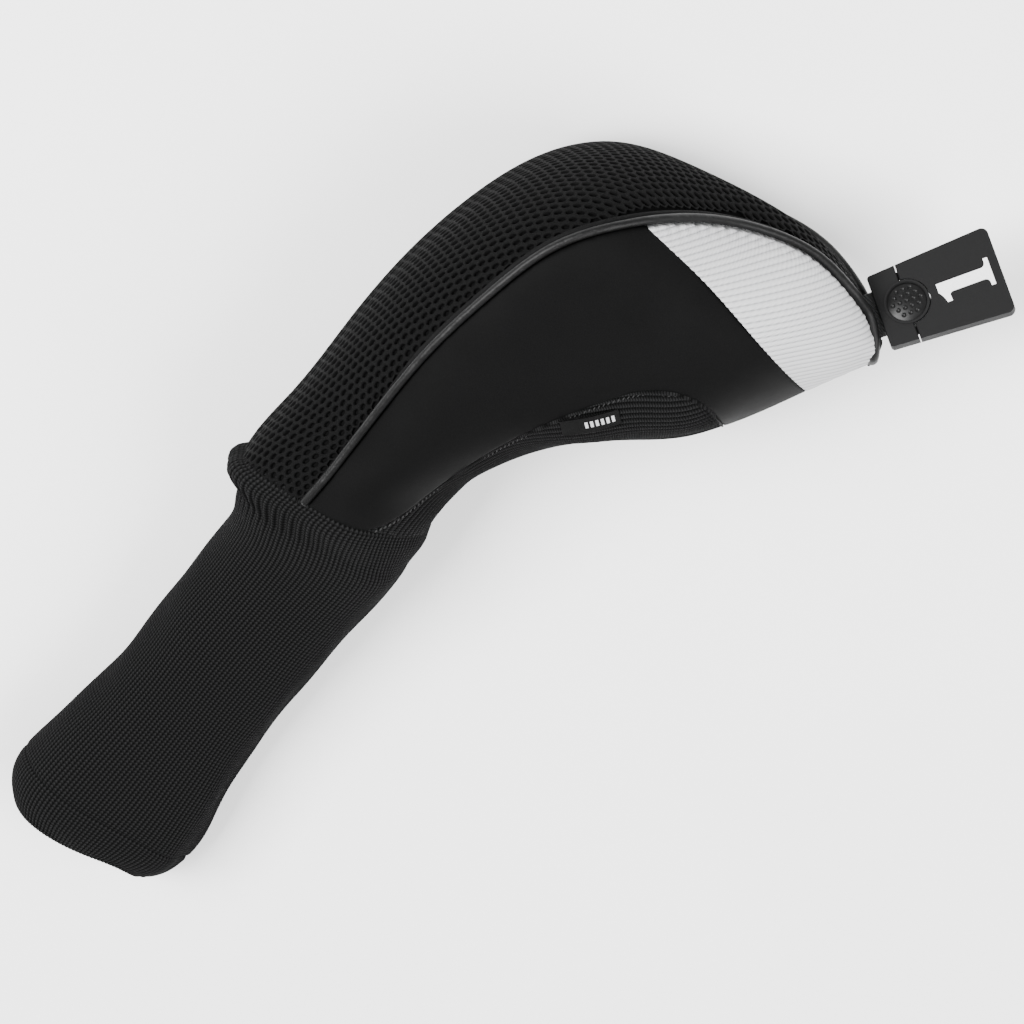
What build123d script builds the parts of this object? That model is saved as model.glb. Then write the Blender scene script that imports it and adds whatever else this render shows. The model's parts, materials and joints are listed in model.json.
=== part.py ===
"""Long-neck head cover for a golf driver, lying on its side: +X runs along the knit sock from its
mouth towards the head pocket, +Z is up, and the cover's own plane of symmetry is horizontal."""
from build123d import *
from collections import namedtuple
from math import cos, radians, sin, tan
import os

os.makedirs("parts", exist_ok=True)

# ---- driving dimensions, millimetres -----------------------------------------------------------
KNIT = 2.6                # double knit of the sock
HEM = 4.2                 # turned-in hem at the sock's mouth
HEM_LENGTH = 20.0         # how far the hem reaches up the sock
ELASTIC = 1.4             # elastic band inside the neck
ELASTIC_SPAN = (176, 184)  # the band's place along the sock
PANEL = 3.6               # neoprene, ribbed nose cloth and air mesh, each with its foam
GUSSET_SINK = 1.0         # the knit gusset lies this far below the neoprene's edge
LINING = 1.8              # fleece lining
PIPING_PROUD = 1.6        # the piping's bead over the panels
PIPING_INNER = 0.020      # piping's width towards the side panel, as a fraction of the section
PIPING_OUTER = 0.022      # and towards the mesh
PANEL_GAP = 0.15          # half the gap where left and right panels meet
OUTER_END = (0.985, 0.40)  # how a section rounds off at its outer point: a fraction of the way out
INNER_END = (0.05, 0.45)  # and at its inner one, each with its share of the next half width
REST_LEVEL = -58.9        # the floor, below the plane of symmetry

TAG_THICKNESS = 6.4
TAG_SEAM_WIDTH = 33.7     # tag width where its two halves meet
TAG_FLARE = 3.6           # degrees that each long edge opens outwards
BASE_LENGTH = 12.4
PLATE_LENGTH = 40.7
TAG_GAP = 0.25            # half the gap between base and plate
BOSS_RADIUS = 9.6
WELL_RADIUS = 8.25
BUTTON_RADIUS = 8.1
TAG_WALL = 1.4
TAG_ROLL = 35.0           # degrees that the tag leans about its own length
TAG_HEADING = -31.3       # degrees from +X
TAG_CENTRE = (418.8, -123.6, 3.0)   # the button's centre, at mid thickness
BUTTON_PLATE = 1.6        # inner face of the base's front wall, above mid thickness
LID_LEVEL = -2.0          # inner face of the base's back lid
STRAP_WIDTH = 20.0
STRAP_THICKNESS = 1.2
STRAP_LEVEL = 0.4         # the strap's middle above the tag's mid thickness
STRAP_LENGTH = 6.8        # from inside the base to inside the nose seam
HINGE_X = -14.2           # the strap's bending line, along the tag from the button's centre
FIT = 0.15                # clearance between tag parts

LABEL_SIZE = (24.5, 8.8, 0.9)
LABEL_CENTRE = (308.34, -43.08, 44.27)
LABEL_ALONG = (0.77, -0.638, 0)
LABEL_NORMAL = (-0.32, -0.386, 0.865)

# ---- cross-sections ---------------------------------------------------------------------------
# One section stands square to the plane of symmetry, between an outer point on the cover's back
# and an inner point on its throat side. seam, flank and low are where the piping, the flank and
# the lower edge lie: a fraction of the way from inner to outer point, and a half width.
Station = namedtuple("Station", "outer inner seam flank low z")


def oval(outer, inner, half_height, z, square=0.75):
    """A rounded section for the sock: square is where the corners sit, 0.71 for an ellipse."""
    corner = half_height * square
    return Station(outer, inner, (0.5 + square / 2, corner), (0.5, half_height),
                   (0.5 - square / 2, corner), z)


NECK = Station((198, 52.5), (220, -27.5), (0.67, 34.0), (0.45, 41.0), (0.20, 29.0), 0)
SOCK_STATIONS = [
    oval((-1, 33), (-1, -32), 20.0, -37.0, 0.80),
    oval((8, 40), (6, -39.5), 23.5, -35.5, 0.80),
    oval((27, 42.5), (28, -43.5), 26.0, -33.4, 0.78),
    oval((50, 39.5), (50, -40), 27.0, -32.2, 0.78),
    oval((76, 36), (76, -36), 27.5, -31.4, 0.76),
    oval((120, 36.5), (122, -34), 29.0, -27.0, 0.76),
    oval((163, 38), (170, -34), 32.0, -18.0, 0.74),
    oval((180, 44), (195, -33), 36.5, -9.0, 0.73),
    Station((189, 52), (208, -30.5), (0.68, 33.0), (0.45, 40.0), (0.20, 29.0), -4),
    NECK,
]
BODY_STATIONS = [
    NECK,
    Station((232, 51.5), (238, -27), (0.68, 40.0), (0.46, 45.0), (0.20, 32.0), 0),
    Station((268, 51.5), (251, -30), (0.71, 46.0), (0.46, 49.5), (0.19, 35.0), 0),
    Station((305, 50), (265, -36), (0.745, 51.0), (0.48, 52.5), (0.17, 37.0), 0),
    Station((343, 43), (279, -46.5), (0.785, 54.5), (0.50, 54.5), (0.15, 38.0), 0),
    Station((374, 30.5), (291, -59), (0.835, 56.5), (0.52, 55.0), (0.13, 38.0), 0),
    Station((396, 10), (303, -72), (0.865, 52.5), (0.54, 54.0), (0.12, 36.0), 0),
    Station((408.5, -19), (316, -87), (0.90, 33.0), (0.56, 52.0), (0.11, 32.0), 0),
    Station((415, -47), (332, -99), (0.92, 18.0), (0.57, 47.0), (0.12, 24.0), 0),
    Station((416.8, -77), (353, -110), (0.95, 15.5), (0.57, 38.0), (0.14, 17.0), 0),
    Station((409.8, -106.2), (375, -120.5), (0.945, 15.0), (0.56, 25.0), (0.16, 13.0), 0),
    Station((401.3, -124.5), (389, -128), (0.86, 10.5), (0.50, 12.5), (0.18, 8.0), 0),
]

# Seams that cross the sections, seen square to the plane of symmetry.
GUSSET_SEAM = [(209, 8), (219, -6), (236, -11.5), (266, -18.5), (302, -32),
               (322, -43), (337, -56), (342, -72), (336, -90), (322, -104)]
NOSE_SEAM = [(388, 12), (384, -36), (377, -73), (362, -120)]


def section_point(station, fraction, half_width, inset):
    """A point of the section's outline, drawn in by inset towards the section's middle."""
    inner = Vector(*station.inner)
    outer = Vector(*station.outer)
    span = (outer - inner).length
    widest = max(station.seam[1], station.flank[1], station.low[1])
    middle = (inner + outer) * 0.5
    along = (outer - inner).normalized() * ((fraction - 0.5) * (span - 2 * inset))
    height = station.z + half_width * (widest - inset) / widest
    return middle + along + Vector(0, 0, height)


def section(station, inset):
    """The section's closed outline: an upper and a lower curve that meet end to end."""
    near_outer = (OUTER_END[0], OUTER_END[1] * station.seam[1])
    near_inner = (INNER_END[0], INNER_END[1] * station.low[1])
    places = [(1, 0), near_outer, station.seam, station.flank, station.low, near_inner, (0, 0)]

    def half(side):
        return [section_point(station, f, side * h, inset) for f, h in places]

    return Wire([Spline(*half(1)), Spline(*reversed(half(-1)))])


def blend(first, second, share):
    """The station that lies share of the way from first to second."""
    def mix(a, b):
        return tuple(p + (q - p) * share for p, q in zip(a, b))

    return Station(mix(first.outer, second.outer), mix(first.inner, second.inner),
                   mix(first.seam, second.seam), mix(first.flank, second.flank),
                   mix(first.low, second.low), first.z + (second.z - first.z) * share)


def sock_form(inset):
    """The sock's solid form, drawn in by inset."""
    return Solid.make_loft([section(station, inset) for station in SOCK_STATIONS])


def body_form(inset):
    """The head pocket's solid form, drawn in by inset at its walls and at its nose."""
    last, tip = BODY_STATIONS[-2:]
    gap = (Vector(*tip.outer) - Vector(*last.outer)).length
    end = blend(last, tip, 1 - inset / gap)
    return Solid.make_loft([section(station, inset) for station in BODY_STATIONS[:-1] + [end]])


def prism(outline):
    """Everything above and below a plan outline."""
    return extrude(make_face(outline), 100, both=True)


def slab(low_x, high_x):
    """Everything between two planes square to the sock."""
    return Box(high_x - low_x, 400, 400, align=(Align.MIN, Align.CENTER, Align.CENTER)).moved(
        Location((low_x, 0, 0)))


def above(level):
    """Everything above a level."""
    return Box(1200, 800, 400, align=(Align.CENTER, Align.CENTER, Align.MIN)).moved(
        Location((200, 0, level)))


def seam_line(shift):
    """The piping's plan line, moved by a fraction of each section towards the back."""
    points = []
    for station in BODY_STATIONS:
        fraction = min(station.seam[0] + shift, 1.2)
        points.append(Vector(*station.inner) * (1 - fraction) + Vector(*station.outer) * fraction)
    first = points[0] * 2 - points[1]
    last = points[-1] * 2 - points[-2]
    return Spline(first, *points, last)


def back_of(line):
    """The region on the back's side of a plan line along the piping."""
    start = line @ 0
    end = line @ 1
    around = Polyline(end, (end.X + 30, end.Y - 40), (560, -200), (560, 160), (150, 160), start)
    return prism([line, around])


def gusset_region():
    """The region on the throat's side of the gusset's seam."""
    line = Spline(*GUSSET_SEAM)
    start = line @ 0
    end = line @ 1
    around = Polyline(end, (322, -160), (150, -160), (150, 8), start)
    return prism([line, around])


def nose_region():
    """The region beyond the nose panel's seam."""
    line = Spline(*NOSE_SEAM)
    around = Polyline(line @ 1, (362, -200), (560, -200), (560, 60), (388, 60), line @ 0)
    return prism([line, around])


# ---- soft parts -------------------------------------------------------------------------------
def sock_parts():
    """The sleeve with its turned-in hem, and the elastic in its neck."""
    outer = sock_form(0)
    inner = sock_form(KNIT)
    knit = outer - inner - slab(-50, HEM_LENGTH)
    hem = (outer - sock_form(HEM)) & slab(-50, HEM_LENGTH)
    elastic = (inner - sock_form(KNIT + ELASTIC)) & slab(*ELASTIC_SPAN)
    return {"knit_sock": knit, "cuff_hem": hem, "neck_elastic": elastic}


def pocket_parts():
    """The head pocket's panels. Those that come in pairs are cut above the plane of symmetry."""
    outer = body_form(0)
    inner = body_form(PANEL)
    lined = body_form(PANEL + LINING)
    shell = outer - inner
    lining = inner - lined
    raised = body_form(-PIPING_PROUD) - inner
    mesh_side = back_of(seam_line(PIPING_OUTER))
    piping_side = back_of(seam_line(-PIPING_INNER))
    gusset = gusset_region()
    nose = nose_region()
    upper = above(PANEL_GAP)

    flank = (shell & upper) - piping_side - gusset
    in_pairs = {
        "side_panel": flank - nose,
        "nose_panel": flank & nose,
        "lining": (lining & upper) - piping_side - gusset,
    }
    parts = {
        "mesh_panel": shell & mesh_side,
        "piping": (raised & piping_side) - mesh_side,
        "knit_gusset": (body_form(GUSSET_SINK) - inner) & gusset,
        "lining_top": lining & piping_side,
    }
    for name, part in in_pairs.items():
        parts[name + "_left"] = part
        parts[name + "_right"] = mirror(part, Plane.XY)
    return parts


# ---- number tag, drawn flat: x along it from the button's centre, z out of its face -------------
HALF = TAG_THICKNESS / 2


def disc(radius, low, high, x=0.0, y=0.0):
    """A cylinder between two levels."""
    return Cylinder(radius, high - low, align=(Align.CENTER, Align.CENTER, Align.MIN)).moved(
        Location((x, y, low)))


def block(low, high):
    """A box between two corners."""
    return Box(*[b - a for a, b in zip(low, high)], align=(Align.MIN,) * 3).moved(Location(low))


def both_sides(shape):
    """The shape and its mirror image across the tag's length."""
    return shape + mirror(shape, Plane.XZ)


def tapered(low_x, high_x, low, high, shrink=0.0):
    """A stretch of the tag's flared outline, between two levels."""
    def half_width(x):
        return TAG_SEAM_WIDTH / 2 + x * tan(radians(TAG_FLARE)) - shrink

    corners = [(low_x, -half_width(low_x)), (high_x, -half_width(high_x)),
               (high_x, half_width(high_x)), (low_x, half_width(low_x))]
    outline = make_face(Polyline(*corners, close=True))
    return extrude(outline, high - low).moved(Location((0, 0, low)))


def softened(solid, radius, places, edge=0.4):
    """Rounds the upright corners at the given end of the tag, and breaks its face edges."""
    upright = solid.edges().filter_by(Axis.Z).sort_by(Axis.X)[places]
    rounded = fillet(upright, radius)
    rims = rounded.faces().sort_by(Axis.Z)[0].edges() + rounded.faces().sort_by(Axis.Z)[-1].edges()
    return chamfer(rims, edge)


def tag_base():
    """The sewn-on half: a shell with a round boss that carries the button."""
    shell = softened(tapered(-BASE_LENGTH, -TAG_GAP, -HALF, HALF), 1.5, slice(0, 2))
    shell = shell + disc(BOSS_RADIUS, -HALF, HALF)
    ring = disc(9.45, HALF, HALF + 0.5) - disc(8.6, HALF, HALF + 0.5)
    shell = shell + ring - disc(WELL_RADIUS, BUTTON_PLATE, HALF + 1)
    pocket = tapered(-11.0, -TAG_GAP - TAG_WALL, LID_LEVEL, BUTTON_PLATE, TAG_WALL)
    pocket = pocket + disc(8.7, LID_LEVEL, BUTTON_PLATE)
    lid_recess = tapered(-11.7, -0.95, -HALF - 1, LID_LEVEL, 0.7) + disc(9.1, -HALF - 1, LID_LEVEL)
    tongue_slots = both_sides(block((-2.5, 10.6, -0.3), (1, 14.2, 1.5)))
    reach = STRAP_WIDTH / 2 + FIT
    thick = STRAP_THICKNESS / 2 + FIT
    strap_slot = block((-13, -reach, STRAP_LEVEL - thick), (-10.9, reach, STRAP_LEVEL + thick))
    return shell - pocket - lid_recess - tongue_slots - strap_slot


def tag_back():
    """The lid that closes the base from behind."""
    return tapered(-11.7, -0.95, -HALF, LID_LEVEL, 0.7) + disc(9.1, -HALF, LID_LEVEL)


def tag_button():
    """The domed push button, with its dimples, retaining flange and two pegs."""
    rise = 1.4
    edge = 3.0
    dome_radius = (BUTTON_RADIUS ** 2 + rise ** 2) / (2 * rise)
    dome = Sphere(dome_radius).moved(Location((0, 0, edge + rise - dome_radius)))
    cap = disc(BUTTON_RADIUS, 1.3, edge + rise) & dome
    button = cap + disc(8.5, 0.5, BUTTON_PLATE - 0.2) - disc(4.6, 0, 2.2)
    button = button + both_sides(disc(0.6, -0.45, 0.6, -7.2, 2.8))
    dimple_pitch = 3.1
    dimple_radius = 1.4
    dimple_depth = 0.45
    for row in range(-2, 3):
        for column in range(-2, 3):
            x = (column + 0.5 * (row % 2)) * dimple_pitch
            y = row * dimple_pitch * 0.866
            across = x * x + y * y
            if across < 7.0 ** 2:
                top = edge + rise - dome_radius + (dome_radius ** 2 - across) ** 0.5
                button = button - Sphere(dimple_radius).moved(
                    Location((x, y, top + dimple_radius - dimple_depth)))
    return button


def button_spring():
    """The coil that lifts the button."""
    wire = 0.3
    low = LID_LEVEL + wire + 0.02
    high = 2.2 - wire - 0.02
    path = Helix(pitch=(high - low) / 3.5, height=high - low, radius=3.4)
    profile = Plane(origin=path @ 0, z_dir=path % 0) * Circle(wire)
    return sweep(profile, path).moved(Location((0, 0, low)))


def latch_spring():
    """The flat spring whose two fingers hold the plate's tongues until the button is pressed."""
    strip = block((-9.4, -14.0, -1.0), (-8.6, 14.0, -0.6)) + block((-9.4, -4, -1.0), (-6.4, 4, -0.6))
    return strip + both_sides(block((-9.4, 11.0, -1.0), (-8.6, 14.0, 0.45)))


def tag_strap():
    """The flexible tab: sewn into the nose seam at one end, held by its bead inside the base."""
    half = STRAP_WIDTH / 2
    thick = STRAP_THICKNESS / 2
    tab = block((-10.8 - STRAP_LENGTH, -half, STRAP_LEVEL - thick), (-10.7, half, STRAP_LEVEL + thick))
    return tab + block((-10.85, -half + 0.2, -0.45), (-9.9, half - 0.2, 1.4))


def numeral_outline():
    """A slab-footed figure one whose foot points away from the button."""
    stem_low, stem_high = -2.4, 2.7
    head, foot = 13.4, 36.8
    foot_thick = 1.9
    inside = foot - foot_thick
    lines = [
        Polyline((inside, 6.3), (foot, 6.3), (foot, -5.8), (inside, -5.8), (inside, -4.6)),
        ThreePointArc((inside, -4.6), (inside - 0.5, -3.1), (inside - 2.1, stem_low)),
        Polyline((inside - 2.1, stem_low), (19.4, stem_low)),
        ThreePointArc((19.4, stem_low), (18.1, -2.9), (17.8, -4.2)),
        Polyline((17.8, -4.2), (17.9, -6.2), (15.7, -6.2)),
        ThreePointArc((15.7, -6.2), (14.9, -3.6), (head, -1.2)),
        Polyline((head, -1.2), (head, stem_high), (inside - 2.1, stem_high)),
        ThreePointArc((inside - 2.1, stem_high), (inside - 0.5, 3.4), (inside, 5.0)),
        Polyline((inside, 5.0), (inside, 6.3)),
    ]
    return make_face(lines)


def number_plate():
    """The pull-off half of the tag, with its two tongues and the figure's recess."""
    plate = softened(tapered(TAG_GAP, PLATE_LENGTH, -HALF, HALF), 3.0, slice(-2, None))
    plate = plate - disc(BOSS_RADIUS + 0.3, -HALF - 1, HALF + 1)
    tongue = block((-10.6, 10.8, -0.2), (1.5, 14.0, 1.4)) - block((-9.6, 10, -1), (-8.4, 15, 0.6))
    recess = extrude(offset(numeral_outline(), 0.2), 2).moved(Location((0, 0, HALF - 0.6)))
    return plate + both_sides(tongue) - recess


def numeral():
    """The white figure let into the plate."""
    return extrude(numeral_outline(), 0.55).moved(Location((0, 0, HALF - 0.6)))


def tag_frame():
    """Where the tag lies: heading away from the nose and leaning about its own length."""
    heading = Vector(cos(radians(TAG_HEADING)), sin(radians(TAG_HEADING)), 0)
    left = Vector(-heading.Y, heading.X, 0)
    face = Vector(0, 0, 1) * cos(radians(TAG_ROLL)) + left * sin(radians(TAG_ROLL))
    return Plane(origin=TAG_CENTRE, x_dir=heading, z_dir=face)


def tag_parts():
    flat = {
        "tag_strap": tag_strap(),
        "tag_base": tag_base(),
        "tag_back": tag_back(),
        "tag_button": tag_button(),
        "button_spring": button_spring(),
        "latch_spring": latch_spring(),
        "number_plate": number_plate(),
        "numeral": numeral(),
    }
    frame = tag_frame()
    return {name: frame * shape for name, shape in flat.items()}


def woven_label():
    """The small folded label sewn in at the gusset's seam."""
    frame = Plane(origin=LABEL_CENTRE, x_dir=LABEL_ALONG, z_dir=LABEL_NORMAL)
    return frame * Box(*LABEL_SIZE)


# ---- the whole cover --------------------------------------------------------------------------
def strap_opening():
    """The slit in the nose that the strap is sewn into."""
    half = STRAP_WIDTH / 2 + FIT
    thick = STRAP_THICKNESS / 2 + FIT
    end = -10.8 - STRAP_LENGTH - FIT
    return tag_frame() * block((end, -half, STRAP_LEVEL - thick), (-12, half, STRAP_LEVEL + thick))


def all_parts():
    """Every piece by name, with the floor at zero and the origin under the middle of the box."""
    parts = {**sock_parts(), **pocket_parts(), **tag_parts(), "woven_label": woven_label()}
    floor = above(REST_LEVEL)
    for name in ("knit_sock", "cuff_hem", "side_panel_right", "piping", "mesh_panel"):
        parts[name] = parts[name] & floor
    opening = strap_opening()
    for name in ("mesh_panel", "piping", "nose_panel_left"):
        parts[name] = parts[name] - opening
    return parts


def to_origin(parts):
    """The move that puts the origin on the floor, under the middle of the cover's box."""
    points = [p for shape in parts.values() for p in shape.tessellate(0.05)[0]]
    xs = [p.X for p in points]
    ys = [p.Y for p in points]
    return Location((-(min(xs) + max(xs)) / 2, -(min(ys) + max(ys)) / 2, -REST_LEVEL))


if __name__ == "__main__":
    cover = all_parts()
    move = to_origin(cover)
    print("moved by", move.position)
    for node, shape in cover.items():
        export_step(shape.moved(move), f"parts/{node}.step")
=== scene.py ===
"""Looks of a long-neck golf driver head cover that lies on its side. All lengths are metres, in the
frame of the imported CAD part: +X runs along the knit sock towards the head pocket and +Z is up.
The soft pieces are laid over a skin that is measured on the CAD part's own surface."""

import bpy
import json
import math
import numpy as np
from mathutils import Matrix, Vector
from mathutils.bvhtree import BVHTree


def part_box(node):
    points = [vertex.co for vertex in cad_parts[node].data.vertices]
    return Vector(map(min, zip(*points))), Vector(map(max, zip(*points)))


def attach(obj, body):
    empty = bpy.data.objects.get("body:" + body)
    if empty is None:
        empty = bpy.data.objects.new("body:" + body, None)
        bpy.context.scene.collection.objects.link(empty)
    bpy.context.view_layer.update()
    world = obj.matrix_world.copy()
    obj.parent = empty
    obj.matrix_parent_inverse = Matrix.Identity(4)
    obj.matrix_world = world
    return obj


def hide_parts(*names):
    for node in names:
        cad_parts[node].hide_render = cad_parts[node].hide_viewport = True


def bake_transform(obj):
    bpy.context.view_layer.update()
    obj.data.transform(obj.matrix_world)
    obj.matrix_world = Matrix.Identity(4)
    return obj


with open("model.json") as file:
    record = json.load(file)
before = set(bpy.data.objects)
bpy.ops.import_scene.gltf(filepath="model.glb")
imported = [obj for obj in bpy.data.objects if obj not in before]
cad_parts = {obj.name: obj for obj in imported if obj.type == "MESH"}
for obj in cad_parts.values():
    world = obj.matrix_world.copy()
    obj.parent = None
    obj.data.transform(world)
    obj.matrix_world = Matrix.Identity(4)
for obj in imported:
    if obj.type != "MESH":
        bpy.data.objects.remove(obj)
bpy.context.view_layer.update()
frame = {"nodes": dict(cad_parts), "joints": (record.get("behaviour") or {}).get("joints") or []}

# ---- driving dimensions, metres -----------------------------------------------------------------
# Each section of the skin stands upright between a plan point on the cover's back and one on its
# throat side. The sections fan out from the neck towards the nose.
FAN = [
    ((-0.2295, 0.085), (-0.2295, 0.020)), ((-0.203, 0.095), (-0.202, 0.009)),
    ((-0.154, 0.088), (-0.154, 0.016)), ((-0.110, 0.089), (-0.108, 0.018)),
    ((-0.067, 0.090), (-0.060, 0.018)), ((-0.050, 0.096), (-0.035, 0.019)),
    ((-0.032, 0.105), (-0.010, 0.025)), ((0.002, 0.104), (0.008, 0.025)),
    ((0.038, 0.104), (0.021, 0.022)), ((0.075, 0.102), (0.035, 0.016)),
    ((0.113, 0.095), (0.049, 0.006)), ((0.144, 0.083), (0.061, -0.007)),
    ((0.166, 0.062), (0.073, -0.020)), ((0.178, 0.033), (0.086, -0.035)),
    ((0.185, 0.005), (0.102, -0.047)), ((0.1865, -0.025), (0.123, -0.058)),
    ((0.1795, -0.054), (0.145, -0.068)), ((0.1715, -0.0715), (0.159, -0.075)),
]
STATION_STEP = 0.001
RAYS = 480                  # round each section
OUTSIDE = 0.11              # further from a section's middle than any of the cover's surface
LEAST_RADIUS = 0.004        # a ray that comes nearer than this went through a slit

SOCK_NODES = ("knit_sock", "cuff_hem")
SKIN_NODES = SOCK_NODES + ("mesh_panel", "piping", "knit_gusset", "side_panel_left",
                           "side_panel_right", "nose_panel_left", "nose_panel_right")
SOCK_MARKS = [SKIN_NODES.index(node) for node in SOCK_NODES]    # their numbers in the skin

WALES = 116                 # ribs round the sock
WALE_SAMPLES = 6            # mesh columns in one rib
WALE_HEIGHT = 0.00060
COURSE = 0.0016             # one row of stitches
HEM_WALL = 0.0042
HEM_LENGTH = 0.020
HEM_CREASE = 0.0009         # width and depth of the hem's seam
HEM_PUFF = 0.0004
SLUMP = 0.0075              # the mouth's upper corner on the throat side hangs back by this
INSIDE_DEPTH = 0.070        # how far the sock is modelled inside its mouth
COLLAR_RISE = 0.0022        # the knit bulges before the pocket's seam
PINCH_DEPTH = 0.0016        # the elastic draws the neck in by this
PLEAT_DEPTH = 0.0008
PLEATS = 58                 # round the neck
TUCK_DEPTH = 0.0016         # the knit's end turns down into the seam

GUSSET_RIB = 0.0031         # from rib to rib
GUSSET_RIB_HEIGHT = 0.0010
GUSSET_TUCK = 0.0018        # its edges turn down under the neoprene

CELL = 0.0050               # air mesh: distance between holes along a row
ROW_PITCH = 0.0034
HOLE_LONG = 0.00180         # half length and half width of a hole
HOLE_SHORT = 0.00105
NET_TURN = math.radians(20)  # the rows of holes run this much off the cover's back
HOLE_SIDES = 12
NET_DEPTH = 0.0014

BEAD_RADIUS = 0.0017        # piping, at the neck
BEAD_RISE = 0.0012          # the bead's middle above the skin
FLANGE_RISE = 0.0006

CORD_PITCH = 0.0023         # white corded cloth
CORD_HEIGHT = 0.00022
CORD_WAY = Vector((0.734, 0.679, 0.0))  # square to the cords
GATHER_PITCH = 0.0052       # gathers where the piping takes the cloth in
GATHER_REACH = 0.006

STITCH_PITCH = 0.0021       # thread along the gusset's seams
STITCH_RADIUS = 0.00042
STITCH_HALF = 0.0009        # half length
LOOK_AHEAD = 0.0006         # to find a seam's direction

NEOPRENE_VOXEL = 0.0009     # remeshing
CORDED_VOXEL = 0.0005
STRAP_VOXEL = 0.0004

LABEL_ALONG = Vector((0.770, -0.638, 0.0))
LABEL_NORMAL = Vector((-0.320, -0.386, 0.865))
LABEL_SIZE = (0.0245, 0.0088)
LABEL_LIFT = 0.0010         # it lies on the gusset's ribs

CAMERA_DISTANCE = 1.7
CAMERA_LEAN = math.radians(19)          # from straight above
IMAGE_RIGHT = Vector((0.613, -0.790, 0.0))
IMAGE_AWAY = Vector((0.790, 0.613, 0.0))
CAMERA_TARGET = Vector((0.0161, 0.0009, 0.0589))
LENS = 142.3


# ---- meshes -------------------------------------------------------------------------------------
def new_object(name, points, faces, uv=None):
    """A smooth-shaded object. uv, where given, holds one pair for each point."""
    mesh = bpy.data.meshes.new(name)
    mesh.from_pydata([tuple(p) for p in points], [], [tuple(f) for f in faces])
    mesh.shade_smooth()
    if uv is not None:
        layer = mesh.uv_layers.new(name="pattern")
        corner = np.empty(len(mesh.loops), np.int32)
        mesh.loops.foreach_get("vertex_index", corner)
        layer.data.foreach_set("uv", np.asarray(uv, np.float32)[corner].ravel())
    obj = bpy.data.objects.new(name, mesh)
    bpy.context.scene.collection.objects.link(obj)
    return obj


def grid_faces(rows, columns):
    """Quads over a grid of points that is stored row after row."""
    index = np.arange(rows * columns).reshape(rows, columns)
    quads = np.stack([index[:-1, :-1], index[:-1, 1:], index[1:, 1:], index[1:, :-1]], axis=-1)
    return quads.reshape(-1, 4).tolist()


def unit(vectors):
    """Vectors scaled to length one."""
    return vectors / np.maximum(np.linalg.norm(vectors, axis=-1, keepdims=True), 1e-12)


def lengths_along(line):
    """The length along a line of points up to each one."""
    steps = np.linalg.norm(np.diff(line, axis=0), axis=1)
    return np.concatenate([[0], np.cumsum(steps)])


def at_length(line, travel, place):
    """The point at a length along a line."""
    return np.array([np.interp(place, travel, column) for column in line.T])


def ease(values, times):
    """Values smoothed along their first axis, with their ends kept."""
    values = np.array(values, float)
    for _ in range(times):
        values[1:-1] = (values[:-2] + 2 * values[1:-1] + values[2:]) / 4
    return values


def bump(distance, reach):
    """One at no distance, falling smoothly to nothing."""
    return np.exp(-(np.asarray(distance) / reach) ** 2)


# ---- the skin -----------------------------------------------------------------------------------
def search_tree(names):
    """One search tree over several CAD nodes, and the number of each triangle's node."""
    points, faces, owner = [], [], []
    for number, name in enumerate(names):
        mesh = frame["nodes"][name].data
        start = len(points)
        points += [v.co.copy() for v in mesh.vertices]
        faces += [[start + i for i in p.vertices] for p in mesh.polygons]
        owner += [number] * len(mesh.polygons)
    return BVHTree.FromPolygons(points, faces), owner


def fan_sections():
    """The plan points of every section, one station step apart along the cover's back."""
    ends = np.array(FAN)
    along = lengths_along(ends[:, 0])
    where = np.linspace(0, along[-1], int(along[-1] / STATION_STEP) + 1)
    flat = ends.reshape(len(ends), 4)
    dense = np.stack([np.interp(where, along, column) for column in flat.T], axis=1)
    return ease(dense, 80).reshape(-1, 2, 2)


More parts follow.
